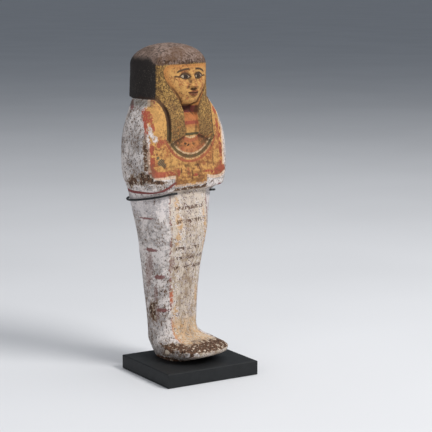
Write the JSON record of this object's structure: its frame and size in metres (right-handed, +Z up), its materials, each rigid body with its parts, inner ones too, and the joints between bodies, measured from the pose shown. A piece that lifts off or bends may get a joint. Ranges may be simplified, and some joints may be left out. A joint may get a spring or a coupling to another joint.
{
  "type": "ushabti figurine",
  "caption": "Mummy-shaped painted wooden figurine with a striped wig and folded arms, on a flat base plate with a wire mount.",
  "frame": {"origin": "middle of the underside of the base plate", "axes": "+Z up; the plate's long side lies along X and its front edge faces -Y; the figure faces -Y, turned 13 degrees to its left"},
  "size_m": [0.0803, 0.078, 0.2303],
  "materials": {
    "painted_wood": "worn matt paint on a white ground over wood",
    "black_base": "matt black lacquer",
    "black_wire": "black, slightly glossy"
  },
  "bodies": {
    "root": {"ushabti_figure": "painted_wood", "display_base": "black_base", "mount_wire": "black_wire"}
  },
  "joints": []
}
